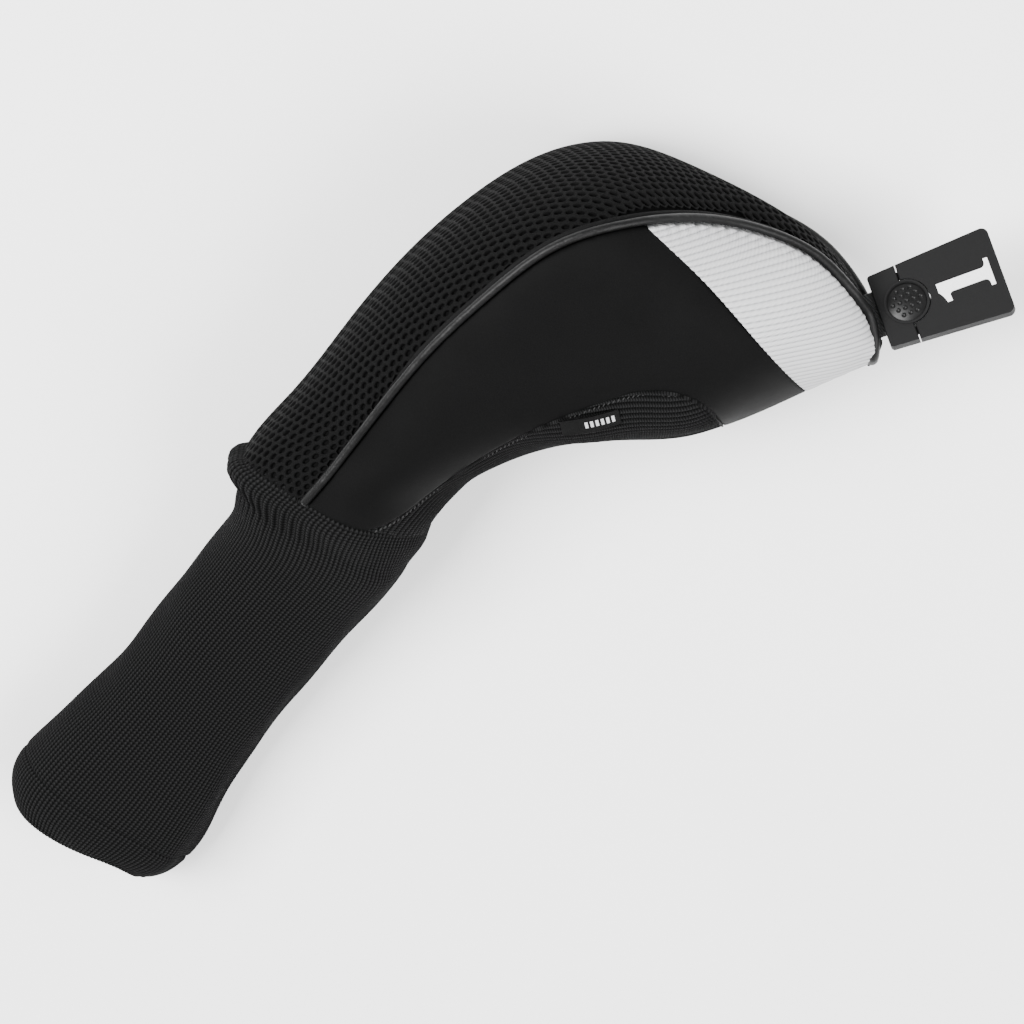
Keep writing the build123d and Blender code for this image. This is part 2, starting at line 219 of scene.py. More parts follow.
class Skin:
    """The cover's outer surface, as one ring of points for each section. A place on a ring is its
    arc: the way round from the cover's back, upwards positive."""

    def __init__(self):
        tree, owner = search_tree(SKIN_NODES)
        angles = np.linspace(-math.pi, math.pi, RAYS + 1)
        rings, marks = [], []
        for outer, inner in fan_sections():
            ring, mark = self.cast(tree, owner, outer, inner, angles)
            rings.append(ring)
            marks.append(mark)
        self.marks = np.array(marks)
        self.points = self.even_throat(np.array(rings), angles)
        steps = np.linalg.norm(np.diff(self.points, axis=1), axis=2)
        zero = np.zeros((len(steps), 1))
        arcs = np.concatenate([zero, np.cumsum(steps, axis=1)], axis=1)
        self.girth = arcs[:, -1]
        self.arcs = arcs - arcs[:, [RAYS // 2]]
        along = np.gradient(self.points, axis=0)
        around = np.gradient(self.points, axis=1)
        self.normals = unit(np.cross(around, along))
        middle = self.points[:, :-1].mean(axis=1, keepdims=True)
        inward = ((self.points - middle) * self.normals).sum(axis=(1, 2)) < 0
        self.normals[inward] *= -1

    def even_throat(self, points, angles):
        """The rings with the step between the sock and the gusset smoothed out."""
        rows = np.arange(len(points))
        near_neck = bump(rows - pocket_start(self), 16)[:, None, None]
        on_throat = np.clip((np.abs(angles) / math.pi - 0.55) / 0.2, 0, 1)[None, :, None]
        return points + (ease(points, 90) - points) * near_neck * on_throat

    @staticmethod
    def cast(tree, owner, outer, inner, angles):
        """One ring: the CAD surface seen from outside, with the piping taken off. The ray in the
        plane of symmetry would pass between the panels, and the strap's slit is only on top."""
        middle = (outer + inner) / 2
        across = (outer - inner) / np.linalg.norm(outer - inner)
        down = Vector((0, 0, -1))
        top = tree.ray_cast(Vector((*middle, 2 * OUTSIDE)), down)[0].z
        bottom = tree.ray_cast(Vector((*middle, -2 * OUTSIDE)), -down)[0].z
        centre = Vector((*middle, (top + bottom) / 2))
        radii, mark = [], []
        for angle in angles[:-1]:
            flat = math.cos(angle)
            way = Vector((across[0] * flat, across[1] * flat, math.sin(angle)))
            place, _, face, distance = tree.ray_cast(centre + way * OUTSIDE, -way)
            radii.append(np.nan if place is None else OUTSIDE - distance)
            mark.append(-1 if place is None else owner[face])
        radii = np.array(radii)
        mark = np.array(mark)
        mark[0] = mark[1]
        good = (radii > LEAST_RADIUS) & (mark != SKIN_NODES.index("piping"))
        good[0] = False
        radii = np.interp(angles[:-1], angles[:-1][good], radii[good], period=2 * math.pi)
        for _ in range(2):
            radii = (np.roll(radii, 1) + 2 * radii + np.roll(radii, -1)) / 4
        radii = np.append(radii, radii[0])
        mark = np.append(mark, mark[0])
        if not np.isin(mark, SOCK_MARKS).any():
            half = RAYS // 2
            radii[half:] = np.maximum(radii[half:], radii[half::-1])
            mark[half:] = mark[half::-1]
        flat = np.cos(angles) * radii
        ring = np.stack([centre.x + across[0] * flat, centre.y + across[1] * flat,
                         centre.z + np.sin(angles) * radii], axis=1)
        return ring, mark

    def strip(self, rows, arcs):
        """Points and normals at the given arcs of the given sections."""
        def pick(grid):
            return np.array([np.stack([
                np.interp(arc, self.arcs[row, :-1], grid[row, :-1, k], period=self.girth[row])
                for k in range(3)], axis=1) for row, arc in zip(rows, arcs)])

        return pick(self.points), unit(pick(self.normals))

    def reach(self, node, last=False):
        """The least arc of a node on each section, or its greatest, and the sections it is on."""
        mine = (self.marks == SKIN_NODES.index(node)) & (self.arcs < 0)
        found = np.full(len(self.arcs), np.nan)
        for row in np.flatnonzero(mine.any(axis=1)):
            arcs = np.abs(self.arcs[row, mine[row]])
            found[row] = arcs.max() if last else arcs.min()
        rows = np.arange(len(found))
        known = ~np.isnan(found)
        return ease(np.interp(rows, rows[known], found[known]), 12), rows[known]


def pocket_start(skin):
    """The first section that is wholly on the head pocket, past the neck's seam."""
    on_sock = np.isin(skin.marks, SOCK_MARKS)
    return int(np.flatnonzero(~on_sock.any(axis=1))[0])


# ---- soft pieces --------------------------------------------------------------------------------
def gathering(turns, left):
    """How far the knit stands out near the neck, by the share of a turn from the cover's back and
    the length left to the pocket's seam."""
    back_side = 0.3 + 0.7 * np.cos(math.pi * turns) ** 2
    facing = bump(turns - 0.16, 0.11) + 0.5 * bump(turns + 0.20, 0.12)
    collar = COLLAR_RISE * back_side * bump(left - 0.008, 0.0055)
    pinch = PINCH_DEPTH * back_side * bump(left - 0.021, 0.0045)
    pleat = PLEAT_DEPTH * facing * bump(left - 0.016, 0.010) * np.cos(2 * math.pi * PLEATS * turns)
    off_throat = np.clip((0.36 - np.abs(turns)) / 0.06, 0, 1)
    tuck = TUCK_DEPTH * off_throat * np.clip(1 - left / 0.003, 0, 1.5) ** 2
    return collar - pinch + pleat - tuck


def knit_sock(skin, neck):
    """The sleeve in one piece: from inside its mouth, round the hem's fold and on to the neck."""
    columns = WALES * WALE_SAMPLES + 1
    turns = np.linspace(-0.5, 0.5, columns)
    rows = np.arange(0, neck + 3)
    points, normals = skin.strip(rows, skin.girth[rows, None] * turns)
    along = lengths_along(points.mean(axis=1))
    wale = np.abs(np.cos(math.pi * WALES * turns)) ** 0.8
    wave = 0.0003 * np.sin(2 * math.pi * (5 * turns[None] + along[:, None] / 0.045))
    height = WALE_HEIGHT * wale[None] + wave
    height = height + gathering(turns[None], (along[neck] - along)[:, None])
    hem_line = bump(along - HEM_LENGTH, HEM_CREASE) * HEM_CREASE
    hem_puff = bump(along - HEM_LENGTH / 2, 0.4 * HEM_LENGTH) * HEM_PUFF
    height += (hem_puff - hem_line)[:, None]
    outside = points + normals * height[..., None]

    depth = int(np.searchsorted(along, INSIDE_DEPTH))
    sunk = HEM_WALL - WALE_HEIGHT * wale[None] * 0.7
    inside = (points - normals * sunk[..., None])[1:depth][::-1]
    lip = []
    radial = unit(normals[0] * np.array((0, 1, 1)))
    for angle in np.linspace(-80, 60, 7):
        lean = math.radians(angle)
        rise = HEM_WALL / 2 * (math.sin(lean) - 1) + WALE_HEIGHT * wale[:, None]
        ahead = np.array((-HEM_WALL / 2 * math.cos(lean), 0, 0))
        lip.append(points[0] + radial * rise + ahead)
    sheet = np.concatenate([inside, np.array(lip), outside])
    corner = SLUMP * bump((turns - 0.37 + 0.5) % 1 - 0.5, 0.11)
    sheet[..., 0] += corner * bump(np.maximum(sheet[..., 0] - sheet[..., 0].min(), 0), 0.030)

    travel = lengths_along(sheet.mean(axis=1))
    u = np.broadcast_to(turns[None] * WALES, sheet.shape[:2])
    v = np.broadcast_to(travel[:, None] / COURSE, sheet.shape[:2])
    uv = np.stack([u, v], axis=-1).reshape(-1, 2)
    obj = new_object("sock_cloth", sheet.reshape(-1, 3), grid_faces(*sheet.shape[:2]), uv)
    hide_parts(*SOCK_NODES)
    return dress(obj, knit_material())


def gusset(skin, neck):
    """The ribbed strip along the throat. Its edges run on under the neoprene."""
    edge, rows = skin.reach("knit_gusset")
    rows = rows[rows >= neck - 2]
    half = skin.girth[rows] / 2 - edge[rows] + 0.0016
    share = np.linspace(-1, 1, 361)
    off_throat = half[:, None] * share[None]
    arcs = skin.girth[rows, None] / 2 - off_throat
    points, normals = skin.strip(rows, arcs)
    along = np.cumsum(np.full(len(rows), STATION_STEP))
    grown = np.clip(0.3 + along / 0.025, 0, 1)[:, None] * GUSSET_RIB_HEIGHT
    rib = grown * np.abs(np.cos(math.pi * off_throat / GUSSET_RIB)) ** 0.8
    wave = 0.0005 * np.sin(off_throat / 0.011 + along[:, None] / 0.016)
    tuck = GUSSET_TUCK * (np.abs(share) > 0.985)
    sheet = points + normals * (rib + wave - tuck[None])[..., None]
    u = off_throat / GUSSET_RIB
    v = np.broadcast_to(along[:, None] / COURSE, u.shape)
    uv = np.stack([u, v], axis=-1).reshape(-1, 2)
    obj = new_object("gusset_cloth", sheet.reshape(-1, 3), grid_faces(*sheet.shape[:2]), uv)
    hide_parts("knit_gusset")
    return dress(obj, knit_material())


def even_sheet(skin, rows, width, step=0.0005):
    """A strip of the skin on both sides of the back, with its points evenly spaced."""
    arcs = np.arange(-width, width + step, step)
    return arcs, *skin.strip(rows, np.broadcast_to(arcs, (len(rows), len(arcs))))


def look_up(grid, row, column):
    """Values between a grid's points."""
    row = np.clip(row, 0, grid.shape[0] - 1.001)
    column = np.clip(column, 0, grid.shape[1] - 1.001)
    r, c = row.astype(int), column.astype(int)
    fr, fc = (row - r)[..., None], (column - c)[..., None]
    low = grid[r, c] * (1 - fc) + grid[r, c + 1] * fc
    high = grid[r + 1, c] * (1 - fc) + grid[r + 1, c + 1] * fc
    return low * (1 - fr) + high * fr


def air_mesh(skin, neck):
    """The back: a net of oval holes in a staggered pattern, over the mesh's own backing."""
    edge = skin.reach("piping")[0]
    rows = np.arange(neck - 2, len(skin.points))
    step = 0.0005
    arcs, points, normals = even_sheet(skin, rows, 0.075, step)
    ridge = points[:, len(arcs) // 2]
    along = lengths_along(ridge)

    turn = np.arange(HOLE_SIDES) * 2 * math.pi / HOLE_SIDES
    corner = CELL / 2 / np.cos((turn + math.pi / 6) % (math.pi / 3) - math.pi / 6)
    squeeze = ROW_PITCH / (CELL * math.sqrt(3) / 2)
    hexagon = np.stack([np.cos(turn) * corner, np.sin(turn) * corner * squeeze], axis=1)
    oval = np.stack([np.cos(turn) * HOLE_LONG, np.sin(turn) * HOLE_SHORT], axis=1)
    rims = [(hexagon, 0.00030), (oval * 0.45 + hexagon * 0.55, 0.00038), (oval * 1.12, 0.00022),
            (oval, -0.00015), (oval * 0.93, -NET_DEPTH)]

    turned = np.array([[math.cos(NET_TURN), math.sin(NET_TURN)],
                       [-math.sin(NET_TURN), math.cos(NET_TURN)]])
    all_points, faces = [], []
    for line in range(-80, 81):
        for place in np.arange(-20, 90) * CELL + (line % 2) * CELL / 2:
            x, t = np.array((place, line * ROW_PITCH)) @ turned
            inside = 0 <= x <= along[-1]
            if not inside or abs(t) > np.interp(x, along, edge[rows]) - 0.0002:
                continue
            start = len(all_points) * len(turn)
            for rim, height in rims:
                rim = rim @ turned
                where = np.interp(x + rim[:, 0], along, np.arange(len(rows)))
                column = (t + rim[:, 1] - arcs[0]) / step
                spot = look_up(points, where, column)
                all_points.append(spot + unit(look_up(normals, where, column)) * height)
            for ring in range(len(rims) - 1):
                a = start + ring * HOLE_SIDES
                b = a + HOLE_SIDES
                for i in range(HOLE_SIDES):
                    j = (i + 1) % HOLE_SIDES
                    faces.append((a + i, a + j, b + j, b + i))
    net = new_object("mesh_net", np.concatenate(all_points), faces)
    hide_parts("mesh_panel")
    dress(net, net_material())

    share = np.linspace(-1, 1, 121)
    spots, ways = skin.strip(rows, (edge[rows, None] + 0.001) * share[None])
    back = spots - ways * NET_DEPTH
    backing = new_object("mesh_backing", back.reshape(-1, 3), grid_faces(*back.shape[:2]))
    dress(backing, backing_material())
    return net, backing


def piping_path(skin, neck):
    """The piping's line, from the neck along the upper seam, round the nose and back below."""
    sides = []
    middle = (skin.reach("piping")[0] + skin.reach("piping", last=True)[0]) / 2
    rows = np.arange(neck, len(skin.points))
    for side in (1, -1):
        arcs = side * middle[rows]
        points, normals = skin.strip(rows, arcs[:, None])
        sides.append((points[:, 0], normals[:, 0]))
    (upper, upper_out), (lower, lower_out) = sides
    tip_out = unit(upper[-1] - upper[-8] + lower[-1] - lower[-8])
    tip = np.linspace(upper[-1], lower[-1], 18)[1:-1]
    line = np.concatenate([upper, tip, lower[::-1]])
    out = np.concatenate([upper_out, np.tile(tip_out, (16, 1)), lower_out[::-1]])
    return ease(line, 50), unit(ease(out, 60))


def piping(skin, neck):
    """The coated piping: a round bead, and the flat flange that lies on the mesh beside it."""
    line, out = piping_path(skin, neck)
    travel = lengths_along(line)
    forward = unit(np.gradient(line, axis=0))
    out = unit(out - forward * (out * forward).sum(axis=1, keepdims=True))
    aside = unit(np.cross(out, forward))
    ridge = skin.strip([neck + 40], [[0.0]])[0][0, 0]
    if np.dot(aside[40], ridge - line[40]) < 0:
        aside = -aside

    half = travel[-1] / 2
    from_neck = half - np.abs(travel - half)
    width = np.interp(from_neck, [0, 0.055, 0.085, half - 0.03, half],
                      [0.0006, 0.0006, 0.0020, 0.0024, 0.0036])
    radius = np.interp(from_neck, [0, half - 0.06, half], [1.0, 1.1, 1.5]) * BEAD_RADIUS
    lean = np.radians(np.linspace(-55, 215, 19))
    spots = []
    for angle in lean:
        side = -math.cos(angle) * radius[:, None]
        rise = BEAD_RISE + math.sin(angle) * radius[:, None]
        spots.append(line + aside * side + out * rise)
    sheet = np.stack(spots, axis=1)
    cord = new_object("piping_cord", sheet.reshape(-1, 3), grid_faces(*sheet.shape[:2]))
    close_ends(cord, sheet.shape)
    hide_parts("piping")
    dress(cord, piping_material())

    ground = SkinTree(skin)
    strips = []
    for share, rise in ((-0.3, 0.4), (0.3, 1.0), (0.6, 1.05), (0.9, 1.0), (1.0, 0.6), (1.03, -1.0)):
        flat = line + aside * (BEAD_RADIUS * 0.95 + width * share)[:, None]
        strips.append(ground.lay(flat, rise * FLANGE_RISE))
    sheet = np.stack(strips, axis=1)
    flange = new_object("piping_flange", sheet.reshape(-1, 3), grid_faces(*sheet.shape[:2]))
    dress(flange, flange_material())
    return cord, flange


def close_ends(obj, shape):
    """Fills the two cut ends of the piping's bead."""
    rows, columns = shape[:2]
    mesh = obj.data
    points = [v.co.copy() for v in mesh.vertices]
    faces = [tuple(p.vertices) for p in mesh.polygons]
    faces.append(tuple(range(columns)))
    faces.append(tuple(reversed(range((rows - 1) * columns, rows * columns))))
    mesh.clear_geometry()
    mesh.from_pydata(points, [], faces)
    mesh.shade_smooth()


class SkinTree:
    """Lays points on the skin."""

    def __init__(self, skin):
        faces = grid_faces(*skin.points.shape[:2])
        self.tree = BVHTree.FromPolygons([Vector(p) for p in skin.points.reshape(-1, 3)], faces)
        self.middle = skin.points.mean(axis=1)

    def lay(self, points, height):
        """The nearest places on the skin, raised by a height."""
        laid = []
        for point in points:
            place, normal, _, _ = self.tree.find_nearest(Vector(point))
            nearest = self.middle[np.argmin(((self.middle - point) ** 2).sum(axis=1))]
            if normal.dot(place - Vector(nearest)) < 0:
                normal = -normal
            laid.append(place + normal * height)
        return np.array(laid)


def even_copy(node, name, voxel, passes):
    """A CAD node's mesh with even, small faces and softened edges."""
    source = frame["nodes"][node].data.copy()
    rough = bpy.data.objects.new(name + "_rough", source)
    bpy.context.scene.collection.objects.link(rough)
    weld = rough.modifiers.new("weld", "WELD")
    weld.merge_threshold = 0.00001
    remesh = rough.modifiers.new("remesh", "REMESH")
    remesh.mode = "VOXEL"
    remesh.voxel_size = voxel
    smooth = rough.modifiers.new("smooth", "SMOOTH")
    smooth.iterations = passes
    evaluated = rough.evaluated_get(bpy.context.evaluated_depsgraph_get())
    mesh = bpy.data.meshes.new_from_object(evaluated)
    bpy.data.objects.remove(rough)
    mesh.name = name
    mesh.materials.clear()
    mesh.shade_smooth()
    obj = bpy.data.objects.new(name, mesh)
    bpy.context.scene.collection.objects.link(obj)
    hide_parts(node)
    return obj


def displace(obj, height_at):
    """Moves an object's points along their normals."""
    mesh = obj.data
    count = len(mesh.vertices)
    points = np.empty(count * 3)
    mesh.vertices.foreach_get("co", points)
    points = points.reshape(-1, 3)
    normals = np.array([n.vector for n in mesh.vertex_normals])
    points = points + normals * height_at(points, normals)[:, None]
    mesh.vertices.foreach_set("co", points.ravel())
    mesh.update()


def side_panels():
    """The neoprene flanks, slack enough to wave a little."""
    def slack(points, normals):
        x, y, z = points.T
        return 0.0005 * np.sin(x / 0.021 + 0.7) * np.cos(y / 0.017 + z / 0.03)

    panels = []
    for side in ("left", "right"):
        obj = even_copy("side_panel_" + side, "neoprene_" + side, NEOPRENE_VOXEL, 6)
        displace(obj, slack)
        panels.append(dress(obj, neoprene_material()))
    return panels


def nearest_on_line(points, line):
    """The distance to a line of points, and the length along it to the nearest one."""
    travel = lengths_along(line)
    distance = np.empty(len(points))
    along = np.empty(len(points))
    for start in range(0, len(points), 4000):
        part = points[start:start + 4000]
        gaps = np.linalg.norm(part[:, None] - line[None], axis=2)
        nearest = gaps.argmin(axis=1)
        distance[start:start + 4000] = gaps.min(axis=1)
        along[start:start + 4000] = travel[nearest]
    return distance, along


def nose_panels(skin, neck):
    """The white corded cloth: fine cords across, gathered where the piping takes it in."""
    line, _ = piping_path(skin, neck)

    def cords(points, normals):
        distance, along = nearest_on_line(points, line)
        near = bump(np.maximum(distance - 0.002, 0), GATHER_REACH)
        cord = np.abs(np.cos(math.pi * (points @ np.array(CORD_WAY)) / CORD_PITCH)) ** 0.7
        pleat = 0.00018 * near * np.cos(2 * math.pi * along / GATHER_PITCH)
        return cord * CORD_HEIGHT + pleat - 0.0004 * near

    panels = []
    for side in ("left", "right"):
        obj = even_copy("nose_panel_" + side, "corded_" + side, CORDED_VOXEL, 6)
        displace(obj, cords)
        panels.append(dress(obj, corded_material()))
    return panels


def seam_stitches(skin, neck):
    """The dotted overlock stitches along both edges of the gusset."""
    points, faces = [], []
    ring = 6
    for side in (1, -1):
        edge, rows = skin.reach("knit_gusset")
        rows = rows[rows >= neck]
        arcs = side * (edge[rows] + 0.0012)
        line, out = skin.strip(rows, arcs[:, None])
        line, out = ease(line[:, 0], 6), unit(ease(out[:, 0], 6))
        travel = lengths_along(line)
        for place in np.arange(0.001, travel[-1] - 0.001, STITCH_PITCH):
            centre = at_length(line, travel, place)
            ahead = at_length(line, travel, place + LOOK_AHEAD)
            normal = unit(at_length(out, travel, place))
            forward = unit(ahead - centre)
            aside = np.cross(normal, forward)
            start = len(points)
            for share in (-1, -0.6, 0, 0.6, 1):
                size = STITCH_RADIUS * math.sqrt(max(1 - share * share, 0.02))
                for k in range(ring):
                    turn = 2 * math.pi * k / ring
                    spot = centre + (forward * 0.8 + aside * 0.6) * share * STITCH_HALF
                    spot = spot + aside * math.cos(turn) * size + normal * math.sin(turn) * size
                    points.append(spot + normal * 0.0005)
            for band in range(4):
                for k in range(ring):
                    a = start + band * ring
                    b = (k + 1) % ring
                    faces.append((a + k, a + b, a + ring + b, a + ring + k))
    obj = new_object("seam_thread", points, faces)
    return dress(obj, thread_material())


def woven_label():
    """The small folded label: two layers of tape that meet in a soft fold at one end."""
    low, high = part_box("woven_label")
    centre = (low + high) / 2
    along = LABEL_ALONG.normalized()
    normal = (LABEL_NORMAL - along * LABEL_NORMAL.dot(along)).normalized()
    across = normal.cross(along)
    length, width = LABEL_SIZE
    profile = []
    for share in np.linspace(1, -0.46, 30):
        profile.append((share * length / 2, 0.00042))
    for angle in np.linspace(100, 260, 9):
        lean = math.radians(angle)
        profile.append((-length * 0.47 + math.cos(lean) * 0.0007, math.sin(lean) * 0.00055))
    for share in np.linspace(-0.46, 1, 30):
        profile.append((share * length / 2, -0.00042))
    rows, uv = [], []
    shares = np.linspace(-0.5, 0.5, 17)
    for i, (s, n) in enumerate(profile):
        bend = 0.0010 * (2 * s / length) ** 2
        lift = LABEL_LIFT + n - bend
        row = [centre + along * s + across * (c * width) + normal * lift for c in shares]
        rows += row
        uv += [(i / len(profile), c + 0.5) for c in shares]
    obj = new_object("label_tape", rows, grid_faces(len(profile), len(shares)), uv)
    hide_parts("woven_label")
    return dress(obj, label_material())


def tag_strap():
    """The short flexible tab between the nose seam and the tag."""
    obj = even_copy("tag_strap", "strap_tab", STRAP_VOXEL, 3)
    obj.data.materials.append(webbing_material())
    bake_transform(obj)
    return obj


def sprung_copy(node):
    """A copy of a spring, which sits between the tag and the button, kept in its CAD shape."""
    obj = bpy.data.objects.new(node + "_wire", frame["nodes"][node].data.copy())
    bpy.context.scene.collection.objects.link(obj)
    obj.data.materials.clear()
    obj.data.materials.append(spring_material())
    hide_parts(node)
    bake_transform(obj)


def springs():
    """The button's coil and the latch's tongue, copied in their CAD shape. The button's press axis
    is looked up but not used.
    """
    press = next(j for j in frame["joints"] if j["name"] == "button_press")
    up = Vector(press["axis"]).normalized()
    if up.z < 0:
        up = -up
    sprung_copy("button_spring")
    sprung_copy("latch_spring")


def settle(obj):
    """Flattens a soft piece where it would pass through the floor."""
    count = len(obj.data.vertices)
    points = np.empty(count * 3)
    obj.data.vertices.foreach_get("co", points)
    points[2::3] = np.maximum(points[2::3], 0.0001)
    obj.data.vertices.foreach_set("co", points)
    obj.data.update()


def dress(obj, material):
    """Gives a soft piece its material, and lets it ride on the cover."""
    settle(obj)
    obj.data.materials.append(material)
    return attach(obj, "cover")


# ---- materials ----------------------------------------------------------------------------------
class Shader:
    """A material being built: each call adds one node and wires it up."""

    def __init__(self, name, **sockets):
        self.material = bpy.data.materials.new(name)
        self.material.use_nodes = True
        self.tree = self.material.node_tree
        self.base = self.tree.nodes["Principled BSDF"]
        for socket, value in sockets.items():
            self.base.inputs[socket.replace("_", " ")].default_value = value

    def add(self, kind, settings=(), **inputs):
        """Adds a node. An input is a value, or another node's socket."""
        node = self.tree.nodes.new(kind)
        for name, value in dict(settings).items():
            setattr(node, name, value)
        for name, value in inputs.items():
            key = int(name[1:]) if name[1:].isdigit() else name.replace("_", " ")
            self.wire(value, node.inputs[key])
        return node

    def wire(self, value, socket):
        """Links or sets one input."""
        if isinstance(value, bpy.types.NodeSocket):
            self.tree.links.new(value, socket)
        else:
            socket.default_value = value

    def math(self, operation, a, b=0.0):
        """One arithmetic node's output."""
        return self.add("ShaderNodeMath", {"operation": operation}, i0=a, i1=b).outputs[0]

    def place(self, kind="Object"):
        """Texture coordinates."""
        return self.add("ShaderNodeTexCoord").outputs[kind]

    def noise(self, scale, detail=2.0, roughness=0.5, vector=None):
        """A noise texture's value."""
        vector = self.place() if vector is None else vector
        return self.add("ShaderNodeTexNoise", Vector=vector, Scale=scale, Detail=detail,
                        Roughness=roughness).outputs["Fac"]

    def shades(self, value, low, high, start=0.3, end=0.7):
        """A colour that runs between two greys or tints."""
        node = self.add("ShaderNodeValToRGB", Fac=value)
        ramp = node.color_ramp
        ramp.elements[0].position, ramp.elements[1].position = start, end
        ramp.elements[0].color, ramp.elements[1].color = (*low, 1), (*high, 1)
        return node.outputs["Color"]

    def relief(self, value, distance, strength=1.0, under=None):
        """A bump node's normal, on top of another one where given."""
        node = self.add("ShaderNodeBump", Height=value, Distance=distance, Strength=strength)
        if under is not None:
            self.wire(under, node.inputs["Normal"])
        return node.outputs["Normal"]

    def finish(self, colour=None, normal=None, roughness=None):
        """Wires the shader's main inputs and gives back the material."""
        for value, name in ((colour, "Base Color"), (normal, "Normal"), (roughness, "Roughness")):
            if value is not None:
                self.wire(value, self.base.inputs[name])
        return self.material


def once(build):
    """Each material is made once and then shared."""
    made = {}

    def shared():
        if build not in made:
            made[build] = build()
        return made[build]

    return shared


def grey(value):
    """A neutral colour."""
    return (value, value, value * 1.02)


@once
def knit_material():
    """Rib knit: slanted stitches on every wale, and fine fibres. The colour is darker in the
    grooves between the wales and between the stitches, as painted shade.
    """
    s = Shader("black rib knit", Roughness=0.9, Specular_IOR_Level=0.06)
    split = s.add("ShaderNodeSeparateXYZ", Vector=s.place("UV"))
    u, v = split.outputs["X"], split.outputs["Y"]
    side = s.math("ABSOLUTE", s.math("SUBTRACT", s.math("FRACT", s.math("ADD", u, 0.5)), 0.5))
    slant = s.math("ADD", v, s.math("MULTIPLY", side, 1.1))
    loop = s.math("ABSOLUTE", s.math("SINE", s.math("MULTIPLY", slant, math.pi)))
    fibre = s.noise(9000.0, 3.0, 0.7)
    normal = s.relief(fibre, 0.00008, under=s.relief(loop, 0.00035))
    # painted shade: the colour falls from each wale's middle into the groove beside it, and between
    # the stitch loops
    crest = s.math("SUBTRACT", 1.0, s.math("MULTIPLY", side, 1.7))
    depth = s.math("MULTIPLY", crest, s.math("ADD", 0.3, s.math("MULTIPLY", loop, 0.7)))
    colour = s.shades(depth, grey(0.0004), grey(0.0105), 0.12, 0.9)
    return s.finish(colour, normal)


@once
def neoprene_material():
    """Jersey-faced neoprene: matt, with a hardly visible fine knit."""
    s = Shader("black neoprene", Specular_IOR_Level=0.06)
    fine = s.noise(2600.0, 2.0, 0.6)
    cloudy = s.noise(60.0, 3.0, 0.5)
    normal = s.relief(fine, 0.00006)
    rough = s.math("ADD", 0.66, s.math("MULTIPLY", cloudy, 0.14))
    return s.finish(s.shades(fine, grey(0.0008), grey(0.0018)), normal, rough)


@once
def corded_material():
    """White corded cloth with a fine cross weave. Its colour is darker in the grooves between the
    cords: painted shade.
    """
    s = Shader("white corded cloth", Roughness=0.85, Specular_IOR_Level=0.3)
    place = s.place()
    weave = s.add("ShaderNodeTexWave", {"wave_type": "BANDS", "bands_direction": "DIAGONAL"},
                  Vector=place, Scale=420.0, Distortion=0.6, Detail=1.0).outputs["Fac"]
    fibre = s.noise(4200.0, 2.0, 0.6)
    soil = s.noise(35.0, 3.0, 0.6)
    both = s.math("ADD", weave, s.math("MULTIPLY", fibre, 0.7))
    across = s.add("ShaderNodeVectorMath", {"operation": "DOT_PRODUCT"}, i0=place,
                   i1=CORD_WAY * (math.pi / CORD_PITCH)).outputs["Value"]
    crest = s.math("POWER", s.math("ABSOLUTE", s.math("COSINE", across)), 0.6)
    cloth = s.math("ADD", s.math("MULTIPLY", both, 0.14), s.math("MULTIPLY", soil, 0.16))
    # painted shade: the colour is lighter on each cord's crest and darker in the groove between
    # cords
    colour = s.shades(s.math("ADD", s.math("MULTIPLY", crest, 0.8), cloth),
                      (0.20, 0.205, 0.215), (0.46, 0.46, 0.465), 0.0, 0.9)
    return s.finish(colour, s.relief(both, 0.00012, under=s.relief(crest, 0.00030)))


@once
def net_material():
    """The net's threads."""
    s = Shader("black net", Roughness=0.75, Specular_IOR_Level=0.05)
    thread = s.noise(2400.0, 2.0, 0.7)
    return s.finish(s.shades(thread, grey(0.001), grey(0.0036)), s.relief(thread, 0.00025))


@once
def backing_material():
    """The dark cloth that shows through the net's holes."""
    s = Shader("mesh backing", Roughness=0.95, Specular_IOR_Level=0.1)
    thread = s.noise(1800.0, 2.0, 0.6)
    return s.finish(s.shades(thread, grey(0.0004), grey(0.0012)), s.relief(thread, 0.0002))


@once
def piping_material():
    """Coated cloth: satin, with a fine grain and faint creases."""
    s = Shader("black coated piping", Specular_IOR_Level=0.16)
    grain = s.noise(1500.0, 3.0, 0.65)
    crease = s.noise(170.0, 2.0, 0.5)
    normal = s.relief(grain, 0.00010, under=s.relief(crease, 0.0006))
    rough = s.math("ADD", 0.36, s.math("MULTIPLY", grain, 0.18))
    return s.finish(s.shades(grain, grey(0.001), grey(0.003)), normal, rough)


@once
def flange_material():
    """The piping's flat edge: the same coated cloth, worn duller."""
    s = Shader("piping flange", Specular_IOR_Level=0.08, Roughness=0.7)
    grain = s.noise(1500.0, 3.0, 0.65)
    return s.finish(s.shades(grain, grey(0.001), grey(0.004)), s.relief(grain, 0.0002))


@once
def thread_material():
    """Sewing thread."""
    s = Shader("black thread", Roughness=0.7, Specular_IOR_Level=0.3)
    twist = s.noise(5200.0, 1.0, 0.5)
    return s.finish(s.shades(twist, grey(0.004), grey(0.012)), s.relief(twist, 0.0001))


